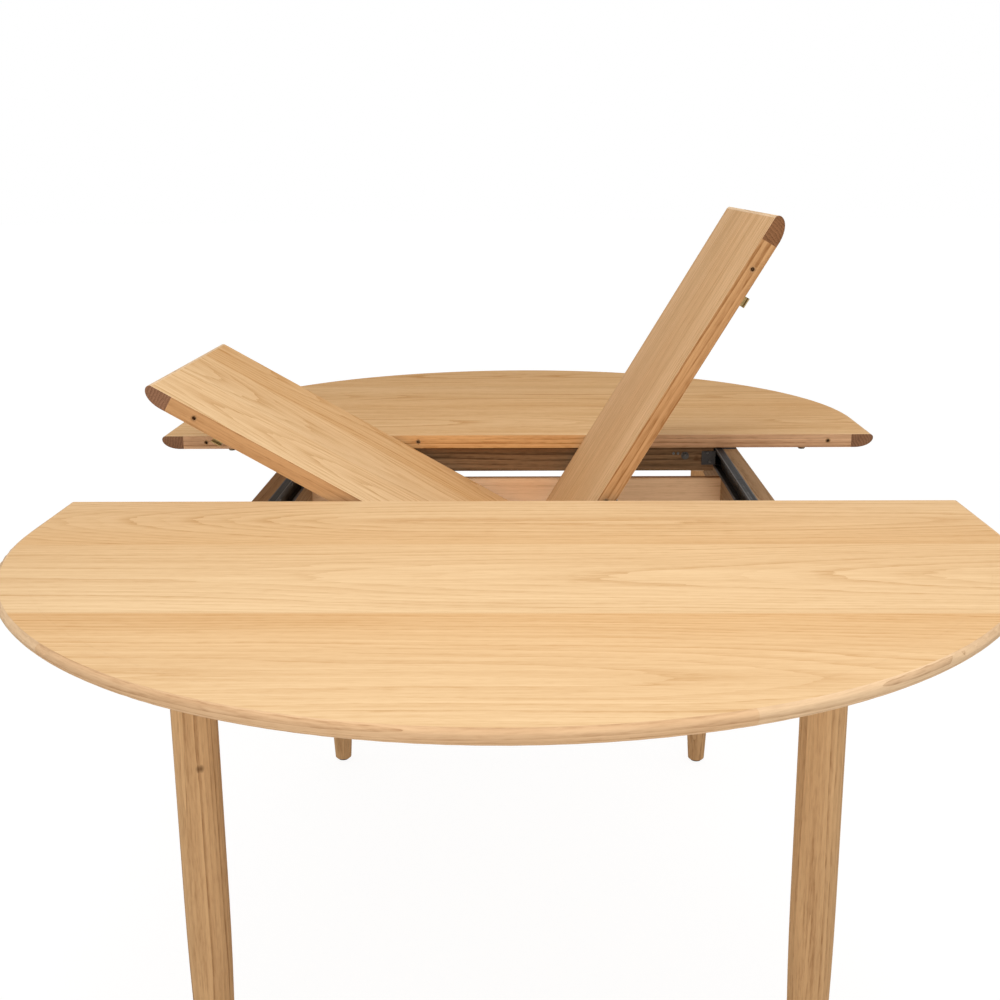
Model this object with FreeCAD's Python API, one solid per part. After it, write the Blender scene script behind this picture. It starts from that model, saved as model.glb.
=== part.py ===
import FreeCAD, Part
import math
import os

# An extending dining table in oak, shown with its two half tops pulled apart and its folding
# leaf half open. X runs across the table, Y along the pull, Z up from the floor. The origin is
# on the floor, in the middle. Lengths are millimetres.

# The whole table: the closed top is two half circles joined by a short straight stretch.
table_width = 1200.0
half_length = 750.0
table_height = 740.0
top_thickness = 22.0
leaf_width = 435.0
leaf_clearance = 10.0

# The pose shown: how far the right wing has turned, and how far the left wing is folded on it.
leaf_lift_deg = 59.0
leaf_fold_deg = 88.8

# The rim of the tops: a solid edge band with a small round above and a long undercut below.
band_width = 36.0
edge_round = 5.5
undercut_depth = 30.0
lipping_depth = 12.0

# Dowels that line the tops up with the leaf, and the bushes that they enter.
dowel_radius = 2.5
dowel_reach = 8.0
dowel_nose = 1.0
dowel_play = 0.3
bush_wall = 1.6
dowel_drop = 11.0
dowel_inner_x = 164.0
dowel_end_inset = 75.0

# Legs, round and drawn in to the foot.
leg_spacing_x = 724.0
leg_spacing_y = 1085.0
leg_diameter = 53.0
foot_diameter = 32.0
foot_chamfer = 2.5
taper_height = 330.0
glide_thickness = 3.0
glide_radius = 11.0
glide_chamfer = 0.8

# Rails of the leg frame, tenoned into the legs.
rail_thickness = 24.0
rail_height = 95.0
rail_drop = 3.0
rail_shoulder_gap = 0.3
tenon_thickness = 10.0
tenon_margin = 12.0
tenon_tip_gap = 8.0
mortise_relief = 1.0
cross_rail_setback = 12.5
cross_rail_thickness = 15.0
cross_rail_drop = 77.5
block_reach = 70.0
block_nose = 14.0
block_lift = 4.0
block_top_gap = 15.0
leg_bolt_radius = 4.0
leg_bolt_bury = 12.0
leg_bolt_play = 0.15
bolt_nut_radius = 6.5
bolt_nut_height = 6.5
bolt_washer_radius = 10.0
bolt_washer_height = 2.0

# Steel slides: a channel on each side rail and a runner for each half top.
slide_height = 35.0
slide_depth = 12.5
slide_wall = 1.4
slide_lip = 4.5
slide_play = 0.4
slide_drop = 2.0
slide_gap_middle = 0.5
slide_gap_leg = 2.5
runner_stop_gap = 13.0
strip_width = 20.0
strip_play = 0.3
strip_start_gap = 1.5

# Bearers under each half top and the angles that tie them to the runners.
bearer_thickness = 22.0
bearer_height = 41.5
bearer_setback = 8.5
angle_thickness = 2.0
angle_leg = 20.0
angle_margin = 1.0
outer_bearer_inset = 4.0

# Leaf locks: a bar under each half top that turns into a keeper under the leaf.
lock_place_share = 0.807
lock_setback = 14.0
lock_plate_width = 14.0
lock_plate_tail = 22.0
lock_plate_thickness = 1.0
lock_pivot_radius = 3.0
lock_pivot_head_radius = 5.0
lock_pivot_head = 1.0
lever_thickness = 2.2
lever_play = 0.3
lever_width = 12.0
lever_running_play = 0.05
lever_hole_radius = 2.2
keeper_length = 14.0
keeper_depth = 12.0
keeper_setback = 1.0
keeper_height = 6.8
keeper_plate = 0.8
keeper_wall = 1.4
keeper_tip_gap = 2.0

# Leaf pivot: ears under the right wing turn in bushes held by brackets on the cross rails.
pivot_x = 140.0
pivot_drop = 37.6
ear_thickness = 4.0
ear_inset = 5.5
ear_flange_length = 64.0
ear_flange_width = 24.0
ear_flange_thickness = 3.0
ear_lobe_radius = 10.0
pivot_pin_radius = 4.0
pivot_running_play = 0.05
pivot_pin_end_gap = 2.0
pivot_bush_wall = 2.2
bracket_thickness = 3.0
bracket_gap = 2.0
bracket_width = 40.0
bracket_lobe_radius = 10.0
bracket_foot = 34.0
bracket_jog_gap = 1.0

# Ledges on the cross rails that carry one end of the leaf when it is put away.
ledge_reach = 35.0
ledge_height = 18.0
ledge_start_x = -280.0
ledge_length = 110.0

# Hinges between the two wings: flaps let into the meeting faces, knuckles at the top surface.
wing_gap = 0.2
hinge_rise = 0.25
hinge_end_inset = 77.5
hinge_length = 60.0
hinge_height = 18.0
hinge_thickness = 2.0
hinge_sink = 0.5
knuckle_radius = 2.4
knuckle_play = 0.5
knuckle_end_length = 10.0
knuckle_mid_length = 15.4
knuckle_gap = 0.3
hinge_pin_radius = 1.2
hinge_pin_play = 0.05

# One overrun serves all cuts.
cut_over = 2.0

# Places worked out from the sizes above.
half_width = table_width / 2
underside = table_height - top_thickness
half_leaf = leaf_width / 2
edge_y = half_leaf + leaf_clearance
arc_y = edge_y + half_length - half_width
panel_reach = half_width - band_width
leg_x = leg_spacing_x / 2
leg_y = leg_spacing_y / 2
leg_radius = leg_diameter / 2
rail_top = underside - rail_drop
rail_bottom = rail_top - rail_height
rail_inner_x = leg_x - rail_thickness / 2
rail_inner_y = leg_y - rail_thickness / 2
dowel_z = table_height - dowel_drop
dowel_outer_x = half_width - dowel_end_inset
bush_bore_radius = dowel_radius + dowel_play
lock_x = half_width * lock_place_share
hinge_spread = half_leaf - hinge_end_inset
slide_front_x = rail_inner_x - slide_depth
slide_top = underside - slide_drop
slide_bottom = slide_top - slide_height
slide_end_y = leg_y - leg_radius - slide_gap_leg
runner_start_y = edge_y + bearer_setback - angle_thickness
runner_length = slide_end_y - runner_stop_gap - runner_start_y
pivot_z = table_height - pivot_drop
hinge_z = table_height + hinge_rise
cross_rail_y = edge_y + cross_rail_setback
cross_rail_top = table_height - cross_rail_drop
block_low = rail_bottom + block_lift
block_height = slide_bottom - block_top_gap - block_low

ORIGIN = FreeCAD.Vector(0, 0, 0)
ACROSS = FreeCAD.Vector(1, 0, 0)
ALONG = FreeCAD.Vector(0, 1, 0)
UP = FreeCAD.Vector(0, 0, 1)
PIVOT = FreeCAD.Vector(pivot_x, 0, pivot_z)
FOLD = FreeCAD.Vector(0, 0, hinge_z)


def point(x, y, z):
    return FreeCAD.Vector(x, y, z)


def block(x_low, x_high, y_low, y_high, z_low, z_high):
    return Part.makeBox(x_high - x_low, y_high - y_low, z_high - z_low, point(x_low, y_low, z_low))


def rod_up(radius, x, y, z_low, z_high):
    return Part.makeCylinder(radius, z_high - z_low, point(x, y, z_low), UP)


def rod_along(radius, x, z, y_low, y_high):
    return Part.makeCylinder(radius, y_high - y_low, point(x, y_low, z), ALONG)


def line(start, end):
    return Part.LineSegment(start, end).toShape()


def polygon(points):
    return Part.Face(Part.makePolygon(points + [points[0]]))


def moved(shape, x, y, z):
    copy = shape.copy()
    copy.translate(point(x, y, z))
    return copy


def flip_x(shape):
    return shape.mirror(ORIGIN, ACROSS)


def flip_y(shape):
    return shape.mirror(ORIGIN, ALONG)


def both_sides(shape):
    return [shape, flip_x(shape)]


def four_corners(shape):
    return both_sides(shape) + both_sides(flip_y(shape))


def save(node, *solids):
    shape = solids[0] if len(solids) == 1 else Part.makeCompound(list(solids))
    shape.exportStep("parts/" + node + ".step")


# The rim section: flat above, a small round, the widest line, then an undercut like a quarter ellipse.
def rim_section():
    widest = table_height - edge_round
    round_start = half_width - edge_round
    undercut_end = half_width - undercut_depth
    diagonal = edge_round * math.sqrt(0.5)
    round_middle = point(round_start + diagonal, 0, widest + diagonal)
    top_round = Part.Arc(point(round_start, 0, table_height), round_middle, point(half_width, 0, widest))
    ellipse = Part.Ellipse(
        point(half_width, 0, widest), point(undercut_end, 0, underside), point(undercut_end, 0, widest))
    undercut = Part.ArcOfEllipse(ellipse, 0, math.pi / 2)
    edges = [
        line(point(panel_reach, 0, underside), point(panel_reach, 0, table_height)),
        line(point(panel_reach, 0, table_height), point(round_start, 0, table_height)),
        top_round.toShape(),
        undercut.toShape(),
        line(point(undercut_end, 0, underside), point(panel_reach, 0, underside)),
    ]
    return Part.Face(Part.Wire(edges))


# Edge band of a half top: the section swept round the half circle and along the straight stretch.
def edge_band():
    section = rim_section()
    bow = moved(section, 0, arc_y, 0).revolve(point(0, arc_y, 0), UP, 180)
    straight = moved(section, 0, edge_y, 0).extrude(point(0, arc_y - edge_y, 0))
    return straight.fuse([bow, flip_x(straight)]).removeSplitter()


# Main panel of a half top, inside the band.
def top_panel():
    front_y = edge_y + lipping_depth
    right_front = point(panel_reach, front_y, underside)
    right_arc = point(panel_reach, arc_y, underside)
    far_point = point(0, arc_y + panel_reach, underside)
    left_arc = point(-panel_reach, arc_y, underside)
    left_front = point(-panel_reach, front_y, underside)
    edges = [
        line(left_front, right_front),
        line(right_front, right_arc),
        Part.Arc(right_arc, far_point, left_arc).toShape(),
        line(left_arc, left_front),
    ]
    return Part.Face(Part.Wire(edges)).extrude(point(0, 0, top_thickness))


# Solid strip along the straight edge of a half top, bored for its dowels or bushes.
def joint_lipping(places, bore_radius):
    strip = block(-panel_reach, panel_reach, edge_y, edge_y + lipping_depth, underside, table_height)
    for x in places:
        bore = rod_along(bore_radius, x, dowel_z, edge_y - cut_over, edge_y + lipping_depth + cut_over)
        strip = strip.cut(bore)
    return strip


# The front joint has four dowels. The back joint has three, because a fourth, on the inner part of the
# right wing, would hit the back half as it closes on the half open leaf.
def front_places():
    return [-dowel_outer_x, -dowel_inner_x, dowel_inner_x, dowel_outer_x]


def back_places():
    return [-dowel_outer_x, -dowel_inner_x, dowel_outer_x]


def wing_back_places(hand):
    sign = {"right": 1, "left": -1}[hand]
    return [x * sign for x in back_places() if x * sign > 0]


# A steel dowel with a tapered nose, standing out of an edge at the height of the bores.
def dowel(x, y_root, y_edge, direction):
    length = abs(y_edge - y_root) + dowel_reach
    pin = Part.makeCylinder(dowel_radius, length, point(x, y_root, dowel_z), ALONG * direction)
    tip_y = y_edge + dowel_reach * direction
    rounds = [edge for edge in pin.Edges if len(edge.Vertexes) == 1]
    rims = [edge for edge in rounds if abs(edge.CenterOfMass.y - tip_y) < dowel_nose]
    return pin.makeChamfer(dowel_nose, rims)


# A bush for a dowel, flush with the edge that it is set in.
def dowel_bush(x, y_low, y_high):
    outside = rod_along(bush_bore_radius + bush_wall, x, dowel_z, y_low, y_high)
    return outside.cut(rod_along(bush_bore_radius, x, dowel_z, y_low - cut_over, y_high + cut_over))


# Two bearers under a half top: one just behind the joint, one at the outer end of the runners.
def bearers():
    reach = slide_front_x - angle_thickness
    inner_y = edge_y + bearer_setback
    inner = block(-reach, reach, inner_y, inner_y + bearer_thickness, underside - bearer_height, underside)
    outer_end_y = runner_start_y + runner_length - outer_bearer_inset
    outer = block(-reach, reach, outer_end_y - bearer_thickness, outer_end_y, slide_bottom, underside)
    return [inner, outer]


# A steel angle: one leg on the face of a bearer, one leg on the runner.
def runner_angle(face_y, direction):
    leg_a_y = face_y - angle_thickness * direction
    leg_b_end_y = leg_a_y + angle_leg * direction
    z_low = slide_bottom + slide_lip + slide_play + angle_margin
    z_high = slide_top - slide_lip - slide_play - angle_margin
    inner_x = slide_front_x - angle_thickness
    a_low, a_high = sorted((face_y, leg_a_y))
    b_low, b_high = sorted((leg_a_y, leg_b_end_y))
    leg_a = block(inner_x - angle_leg, slide_front_x, a_low, a_high, z_low, z_high)
    leg_b = block(inner_x, slide_front_x, b_low, b_high, z_low, z_high)
    return leg_a.fuse(leg_b).removeSplitter()


def runner_angles():
    inner = runner_angle(edge_y + bearer_setback, 1)
    outer = runner_angle(runner_start_y + runner_length - outer_bearer_inset, -1)
    return both_sides(inner) + both_sides(outer)


# Fixed member of a slide: a channel with turned lips, screwed to the side rail.
def slide_channel():
    x0 = slide_front_x
    x1 = rail_inner_x
    y0 = slide_gap_middle
    wall = slide_wall
    corners = [
        (x1, slide_bottom), (x1, slide_top), (x0, slide_top), (x0, slide_top - slide_lip),
        (x0 + wall, slide_top - slide_lip), (x0 + wall, slide_top - wall), (x1 - wall, slide_top - wall),
        (x1 - wall, slide_bottom + wall), (x0 + wall, slide_bottom + wall),
        (x0 + wall, slide_bottom + slide_lip), (x0, slide_bottom + slide_lip), (x0, slide_bottom),
    ]
    return polygon([point(x, y0, z) for x, z in corners]).extrude(point(0, slide_end_y - y0, 0))


# Moving member of a slide: a hat section whose feet are held behind the lips of the channel.
def slide_runner():
    x0 = slide_front_x
    wall = slide_wall
    back_x = rail_inner_x - wall - slide_play
    foot_x = back_x - wall
    crown = slide_top - slide_lip - slide_play
    base = slide_bottom + slide_lip + slide_play
    foot_high = slide_top - wall - slide_play
    foot_low = slide_bottom + wall + slide_play
    corners = [
        (x0, base), (x0, crown), (foot_x, crown), (foot_x, foot_high), (back_x, foot_high),
        (back_x, crown - wall), (x0 + wall, crown - wall), (x0 + wall, base + wall), (back_x, base + wall),
        (back_x, foot_low), (foot_x, foot_low), (foot_x, base),
    ]
    return polygon([point(x, runner_start_y, z) for x, z in corners]).extrude(point(0, runner_length, 0))


# Black strips on the side rails, on which the half tops slide.
def glide_strip():
    return block(
        leg_x - strip_width / 2, leg_x + strip_width / 2, edge_y + strip_start_gap, slide_end_y,
        rail_top, underside - strip_play)


# A turned leg: straight above, an even curve down to a slim foot with a chamfered bottom edge.
def turned_leg():
    foot_radius = foot_diameter / 2
    bottom = glide_thickness
    foot_top = bottom + foot_chamfer
    draw_in = leg_radius - foot_radius
    drop = taper_height - foot_top
    bow_radius = (drop * drop + draw_in * draw_in) / (2 * draw_in)
    half_turn = math.asin(drop / bow_radius) / 2
    bow_in = bow_radius * (1 - math.cos(half_turn))
    bow_middle = point(leg_radius - bow_in, 0, taper_height - bow_radius * math.sin(half_turn))
    chamfer_start = point(foot_radius - foot_chamfer, 0, bottom)
    edges = [
        line(point(0, 0, bottom), chamfer_start),
        line(chamfer_start, point(foot_radius, 0, foot_top)),
        Part.Arc(point(foot_radius, 0, foot_top), bow_middle, point(leg_radius, 0, taper_height)).toShape(),
        line(point(leg_radius, 0, taper_height), point(leg_radius, 0, rail_top)),
        line(point(leg_radius, 0, rail_top), point(0, 0, rail_top)),
        line(point(0, 0, rail_top), point(0, 0, bottom)),
    ]
    turned = Part.Face(Part.Wire(edges)).revolve(ORIGIN, UP, 360)
    return moved(turned, leg_x, leg_y, 0)


# Tenons of the side rail and of the end rail, which meet a leg at right angles.
def side_tenon(relief):
    half = tenon_thickness / 2
    return block(
        leg_x - half, leg_x + half, leg_y - leg_radius - rail_shoulder_gap, leg_y - tenon_tip_gap + relief,
        rail_bottom + tenon_margin, rail_top - tenon_margin)


def end_tenon(relief):
    half = tenon_thickness / 2
    return block(
        leg_x - leg_radius - rail_shoulder_gap, leg_x - tenon_tip_gap + relief, leg_y - half, leg_y + half,
        rail_bottom + tenon_margin, rail_top - tenon_margin)


def leg():
    turned = turned_leg()
    for cutter in (side_tenon(mortise_relief), end_tenon(mortise_relief), bolt_hole()):
        turned = turned.cut(cutter)
    return turned


# A nylon glide under each foot.
def foot_glide():
    top_z = glide_thickness
    disc = rod_up(glide_radius, leg_x, leg_y, 0, top_z)
    low_rims = [edge for edge in disc.Edges if len(edge.Vertexes) == 1 and edge.CenterOfMass.z < top_z / 2]
    return disc.makeChamfer(glide_chamfer, low_rims)


# Side rail along Y and end rail along X, their shoulders scribed to the round legs.
def scribe():
    return rod_up(leg_radius + rail_shoulder_gap, leg_x, leg_y, rail_bottom - cut_over, rail_top + cut_over)


def side_rail():
    half = rail_thickness / 2
    rail = block(leg_x - half, leg_x + half, -leg_y, leg_y, rail_bottom, rail_top)
    rail = rail.cut(scribe()).cut(flip_y(scribe()))
    return rail.fuse([side_tenon(0), flip_y(side_tenon(0))]).removeSplitter()


def end_rail():
    half = rail_thickness / 2
    rail = block(-leg_x, leg_x, leg_y - half, leg_y + half, rail_bottom, rail_top)
    rail = rail.cut(scribe()).cut(flip_x(scribe()))
    return rail.fuse([end_tenon(0), flip_x(end_tenon(0))]).removeSplitter()


# Cross rails that stiffen the frame and close the well where the folded leaf is kept.
def cross_rail():
    return block(
        -rail_inner_x, rail_inner_x, cross_rail_y, cross_rail_y + cross_rail_thickness,
        rail_bottom, cross_rail_top)


# Corner blocks behind the legs, and the bolt that draws each leg into its corner.
def corner_block():
    z = block_low
    plan = [
        point(rail_inner_x, rail_inner_y - block_reach, z),
        point(rail_inner_x, rail_inner_y, z),
        point(rail_inner_x - block_reach, rail_inner_y, z),
        point(rail_inner_x - block_reach, rail_inner_y - block_nose, z),
        point(rail_inner_x - block_nose, rail_inner_y - block_reach, z),
    ]
    body = polygon(plan).extrude(point(0, 0, block_height))
    return body.cut(scribe()).cut(bolt_hole())


def bolt_axis():
    return point(-1, -1, 0).normalize()


def bolt_face_distance():
    return (rail_thickness / 2 + (block_reach + block_nose) / 2) * math.sqrt(2)


def bolt_centre(distance):
    step = bolt_axis() * distance
    return point(leg_x, leg_y, block_low + block_height / 2) + step


def bolt_shank(radius, end_distance):
    start = leg_radius - leg_bolt_bury
    return Part.makeCylinder(radius, end_distance - start, bolt_centre(start), bolt_axis())


def bolt_hole():
    return bolt_shank(leg_bolt_radius + leg_bolt_play, bolt_face_distance() + cut_over)


def leg_bolt():
    face = bolt_face_distance()
    nut_start = face + bolt_washer_height
    shank = bolt_shank(leg_bolt_radius, nut_start + bolt_nut_height)
    washer = Part.makeCylinder(bolt_washer_radius, bolt_washer_height, bolt_centre(face), bolt_axis())
    corners = []
    side = bolt_axis().cross(UP)
    for step in range(6):
        turn = math.radians(60 * step)
        offset = side * (bolt_nut_radius * math.cos(turn)) + UP * (bolt_nut_radius * math.sin(turn))
        corners.append(bolt_centre(nut_start) + offset)
    nut = polygon(corners).extrude(bolt_axis() * bolt_nut_height)
    return shank.fuse([washer, nut])


# Ledge on a cross rail for the folded leaf, below its lower face when it is put away.
def leaf_ledge():
    top_z = table_height - 2 * pivot_drop - top_thickness - hinge_rise * 2
    return block(
        ledge_start_x, ledge_start_x + ledge_length, cross_rail_y - ledge_reach, cross_rail_y,
        top_z - ledge_height, top_z)


# Cranked steel bracket on a cross rail: a foot on the rail, a jog, and a rounded upright at the pivot.
def bracket_face_y():
    return half_leaf + bracket_gap


def pivot_bracket():
    inner_y = bracket_face_y()
    outer_y = inner_y + bracket_thickness
    jog_top = cross_rail_top - bracket_jog_gap
    jog_low = jog_top - bracket_thickness
    foot_low = jog_low - bracket_foot
    foot_y = cross_rail_y - bracket_thickness
    head = pivot_z + bracket_lobe_radius
    low_x = pivot_x - bracket_width / 2
    section = [
        (inner_y, jog_low), (inner_y, head), (outer_y, head), (outer_y, jog_top), (cross_rail_y, jog_top),
        (cross_rail_y, foot_low), (foot_y, foot_low), (foot_y, jog_low),
    ]
    bent = polygon([point(low_x, y, z) for y, z in section]).extrude(point(bracket_width, 0, 0))
    lobe_low = pivot_z - bracket_lobe_radius
    arm = block(low_x, low_x + bracket_width, inner_y, cross_rail_y, foot_low, lobe_low)
    lobe = rod_along(bracket_lobe_radius, pivot_x, pivot_z, inner_y, cross_rail_y)
    flare = pivot_flare(bracket_width, bracket_lobe_radius, lobe_low, inner_y, cross_rail_y)
    outline = arm.fuse([lobe, flare])
    bush_radius = pivot_pin_radius + pivot_running_play + pivot_bush_wall
    bore = rod_along(bush_radius, pivot_x, pivot_z, inner_y - cut_over, outer_y + cut_over)
    return bent.common(outline).cut(bore)


# A plate that narrows from a wide base to the width of the pivot lobe.
def pivot_flare(base_width, lobe_radius, base_z, y_low, y_high):
    corners = [
        point(pivot_x - base_width / 2, y_low, base_z), point(pivot_x + base_width / 2, y_low, base_z),
        point(pivot_x + lobe_radius, y_low, pivot_z), point(pivot_x - lobe_radius, y_low, pivot_z),
    ]
    return polygon(corners).extrude(point(0, y_high - y_low, 0))


def pivot_bush():
    y_low = bracket_face_y()
    y_high = y_low + bracket_thickness
    bore = pivot_pin_radius + pivot_running_play
    ring = rod_along(bore + pivot_bush_wall, pivot_x, pivot_z, y_low, y_high)
    return ring.cut(rod_along(bore, pivot_x, pivot_z, y_low - cut_over, y_high + cut_over))


# Lock plate under a half top with its pivot stud, and the flat bar that swings on it.
def lock_y():
    return edge_y + lock_setback


def lever_top():
    return underside - lock_plate_thickness - lever_play


def lock_plate():
    half = lock_plate_width / 2
    plate_z = underside - lock_plate_thickness
    y = lock_y()
    plate = block(lock_x - half, lock_x + half, y - half, y + lock_plate_tail, plate_z, underside)
    neck_z = lever_top() - lever_thickness - lever_play
    neck = rod_up(lock_pivot_radius, lock_x, y, neck_z, plate_z)
    head = rod_up(lock_pivot_head_radius, lock_x, y, neck_z - lock_pivot_head, neck_z)
    return plate.fuse([neck, head])


# The bar points away from the leaf when open. Its round tip has a hole for a finger or a tool.
def lock_lever():
    z_low = lever_top() - lever_thickness
    z_high = lever_top()
    half = lever_width / 2
    y = lock_y()
    reach = lock_setback + keeper_setback + keeper_depth - keeper_wall - keeper_tip_gap
    tip_y = y + reach - half
    boss = rod_up(half, lock_x, y, z_low, z_high)
    tip = rod_up(half, lock_x, tip_y, z_low, z_high)
    bar = block(lock_x - half, lock_x + half, y, tip_y, z_low, z_high)
    lever = bar.fuse([boss, tip]).removeSplitter()
    bore = rod_up(lock_pivot_radius + lever_running_play, lock_x, y, z_low - cut_over, z_high + cut_over)
    hole = rod_up(lever_hole_radius, lock_x, tip_y, z_low - cut_over, z_high + cut_over)
    return lever.cut(bore).cut(hole)


# The two wings of the leaf are made flat, as in use, and turned into the pose shown at the end.
def turn_right_wing(shape):
    turned = shape.copy()
    turned.rotate(PIVOT, -ALONG, leaf_lift_deg)
    return turned


def turn_left_wing(shape):
    turned = flip_x(shape)
    turned.rotate(FOLD, ALONG, leaf_fold_deg)
    turned.rotate(PIVOT, -ALONG, leaf_lift_deg)
    return turned


def hinge_places():
    return [-hinge_spread, 0, hinge_spread]


def knuckle_half():
    return knuckle_mid_length / 2 + knuckle_gap + knuckle_end_length


def knuckle_notch(y, half_length_y):
    return rod_along(knuckle_radius + knuckle_play, 0, hinge_z, y - half_length_y, y + half_length_y)


# Main panel of a wing, with seats for the hinge flaps and their knuckles in its meeting face.
def wing_panel():
    y_reach = half_leaf - lipping_depth
    panel = block(wing_gap, panel_reach, -y_reach, y_reach, underside, table_height)
    for y in hinge_places():
        seat_high = table_height + cut_over
        seat_low = table_height - hinge_sink - hinge_height
        half = hinge_length / 2
        panel = panel.cut(block(0, wing_gap + hinge_thickness, y - half, y + half, seat_low, seat_high))
        panel = panel.cut(knuckle_notch(y, knuckle_half() + knuckle_gap))
    return panel


# Straight lippings of a wing: the front one is bored for bushes, the back one for dowels.
def wing_lippings(hand):
    strips = []
    bush_radius = bush_bore_radius + bush_wall
    bores = ((-1, wing_front_places(), bush_radius), (1, wing_back_places(hand), dowel_radius))
    for side, places, bore_radius in bores:
        faces = sorted((side * half_leaf, side * (half_leaf - lipping_depth)))
        strip = block(wing_gap, panel_reach, faces[0], faces[1], underside, table_height)
        for x in places:
            strip = strip.cut(rod_along(bore_radius, x, dowel_z, faces[0] - cut_over, faces[1] + cut_over))
        strips.append(strip)
    return strips


def wing_front_places():
    return [dowel_inner_x, dowel_outer_x]


def wing_end_band():
    return moved(rim_section(), 0, -half_leaf, 0).extrude(point(0, leaf_width, 0))


def wing_dowels(hand):
    return [dowel(x, half_leaf - lipping_depth, half_leaf, 1) for x in wing_back_places(hand)]


def wing_bushes():
    return [dowel_bush(x, -half_leaf, lipping_depth - half_leaf) for x in wing_front_places()]


# Keeper under each edge of a wing: a pressed channel, open to the joint, that the bar turns into.
def keepers():
    outer_y = half_leaf - keeper_setback
    inner_y = outer_y - keeper_depth
    low_z = underside - keeper_height
    room_low = low_z + keeper_wall
    room_high = underside - keeper_plate
    low_x = lock_x - keeper_length / 2
    high_x = lock_x + keeper_length / 2
    solid = block(low_x, high_x, inner_y, outer_y, low_z, underside)
    room = block(
        low_x - cut_over, high_x + cut_over, inner_y + keeper_wall, outer_y + cut_over, room_low, room_high)
    keeper = solid.cut(room)
    return [keeper, flip_y(keeper)]


# Hinge flaps: the right wing has the outer knuckles and the pin, the left wing the middle knuckle.
def hinge_flap(y, knuckles, clear_knuckles):
    half = hinge_length / 2
    high = table_height - hinge_sink
    flap = block(wing_gap, wing_gap + hinge_thickness, y - half, y + half, high - hinge_height, high)
    for low, top in clear_knuckles:
        room = rod_along(knuckle_radius + knuckle_play, 0, hinge_z, low - knuckle_gap, top + knuckle_gap)
        flap = flap.cut(room)
    for low, top in knuckles:
        flap = flap.fuse(rod_along(knuckle_radius, 0, hinge_z, low, top))
    for low, top in knuckles:
        bore = rod_along(hinge_pin_radius + hinge_pin_play, 0, hinge_z, low - cut_over, top + cut_over)
        flap = flap.cut(bore)
    return flap


def knuckle_spans(y):
    middle = (y - knuckle_mid_length / 2, y + knuckle_mid_length / 2)
    ends = [
        (y - knuckle_half(), y - knuckle_half() + knuckle_end_length),
        (y + knuckle_half() - knuckle_end_length, y + knuckle_half()),
    ]
    return ends, [middle]


def right_flaps():
    return [hinge_flap(y, knuckle_spans(y)[0], knuckle_spans(y)[1]) for y in hinge_places()]


def left_flaps():
    return [hinge_flap(y, knuckle_spans(y)[1], knuckle_spans(y)[0]) for y in hinge_places()]


def hinge_pins():
    half = knuckle_half()
    return [rod_along(hinge_pin_radius, 0, hinge_z, y - half, y + half) for y in hinge_places()]


# Pivot ears: a flange under the right wing and a rounded lobe, with a pin riveted through the lobe.
def ear_outer_y():
    return half_leaf - ear_inset


def pivot_pin():
    inner_y = ear_outer_y() - ear_thickness
    return rod_along(pivot_pin_radius, pivot_x, pivot_z, inner_y, edge_y - pivot_pin_end_gap)


def pivot_ear():
    outer_y = ear_outer_y()
    inner_y = outer_y - ear_thickness
    flange_z = underside - ear_flange_thickness
    half = ear_flange_length / 2
    flange = block(pivot_x - half, pivot_x + half, outer_y - ear_flange_width, outer_y, flange_z, underside)
    flare = pivot_flare(ear_flange_length, ear_lobe_radius, flange_z, inner_y, outer_y)
    lobe = rod_along(ear_lobe_radius, pivot_x, pivot_z, inner_y, outer_y)
    return flange.fuse([flare, lobe]).removeSplitter().cut(pivot_pin())


os.makedirs("parts", exist_ok=True)

for end, turn in (("back", lambda shape: shape), ("front", flip_y)):
    save(end + "_top_panel", turn(top_panel()))
    save(end + "_edge_band", turn(edge_band()))
    save(end + "_bearers", *[turn(bearer) for bearer in bearers()])
    save(end + "_runner_angles", *[turn(angle) for angle in runner_angles()])
    save(end + "_lock_plates", *[turn(plate) for plate in both_sides(lock_plate())])
    save(end + "_end_rail", turn(end_rail()))
    save(end + "_cross_rail", turn(cross_rail()))
    for hand, side in (("right", lambda shape: shape), ("left", flip_x)):
        save(end + "_leg_" + hand, turn(side(leg())))
        save(end + "_slide_channel_" + hand, turn(side(slide_channel())))
        save(end + "_slide_runner_" + hand, turn(side(slide_runner())))
        save(end + "_lock_lever_" + hand, turn(side(lock_lever())))

save("back_joint_lipping", joint_lipping(back_places(), bush_bore_radius + bush_wall))
save("back_dowel_bushes", *[dowel_bush(x, edge_y, edge_y + lipping_depth) for x in back_places()])
save("front_joint_lipping", flip_y(joint_lipping(front_places(), dowel_radius)))
save("front_dowels", *[dowel(x, -edge_y - lipping_depth, -edge_y, 1) for x in front_places()])

save("side_rail_right", side_rail())
save("side_rail_left", flip_x(side_rail()))
save("foot_glides", *four_corners(foot_glide()))
save("corner_blocks", *four_corners(corner_block()))
save("leg_bolts", *four_corners(leg_bolt()))
save("glide_strips", *four_corners(glide_strip()))
save("leaf_ledges", leaf_ledge(), flip_y(leaf_ledge()))
save("pivot_brackets", pivot_bracket(), flip_y(pivot_bracket()))
save("pivot_bushes", pivot_bush(), flip_y(pivot_bush()))

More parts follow.
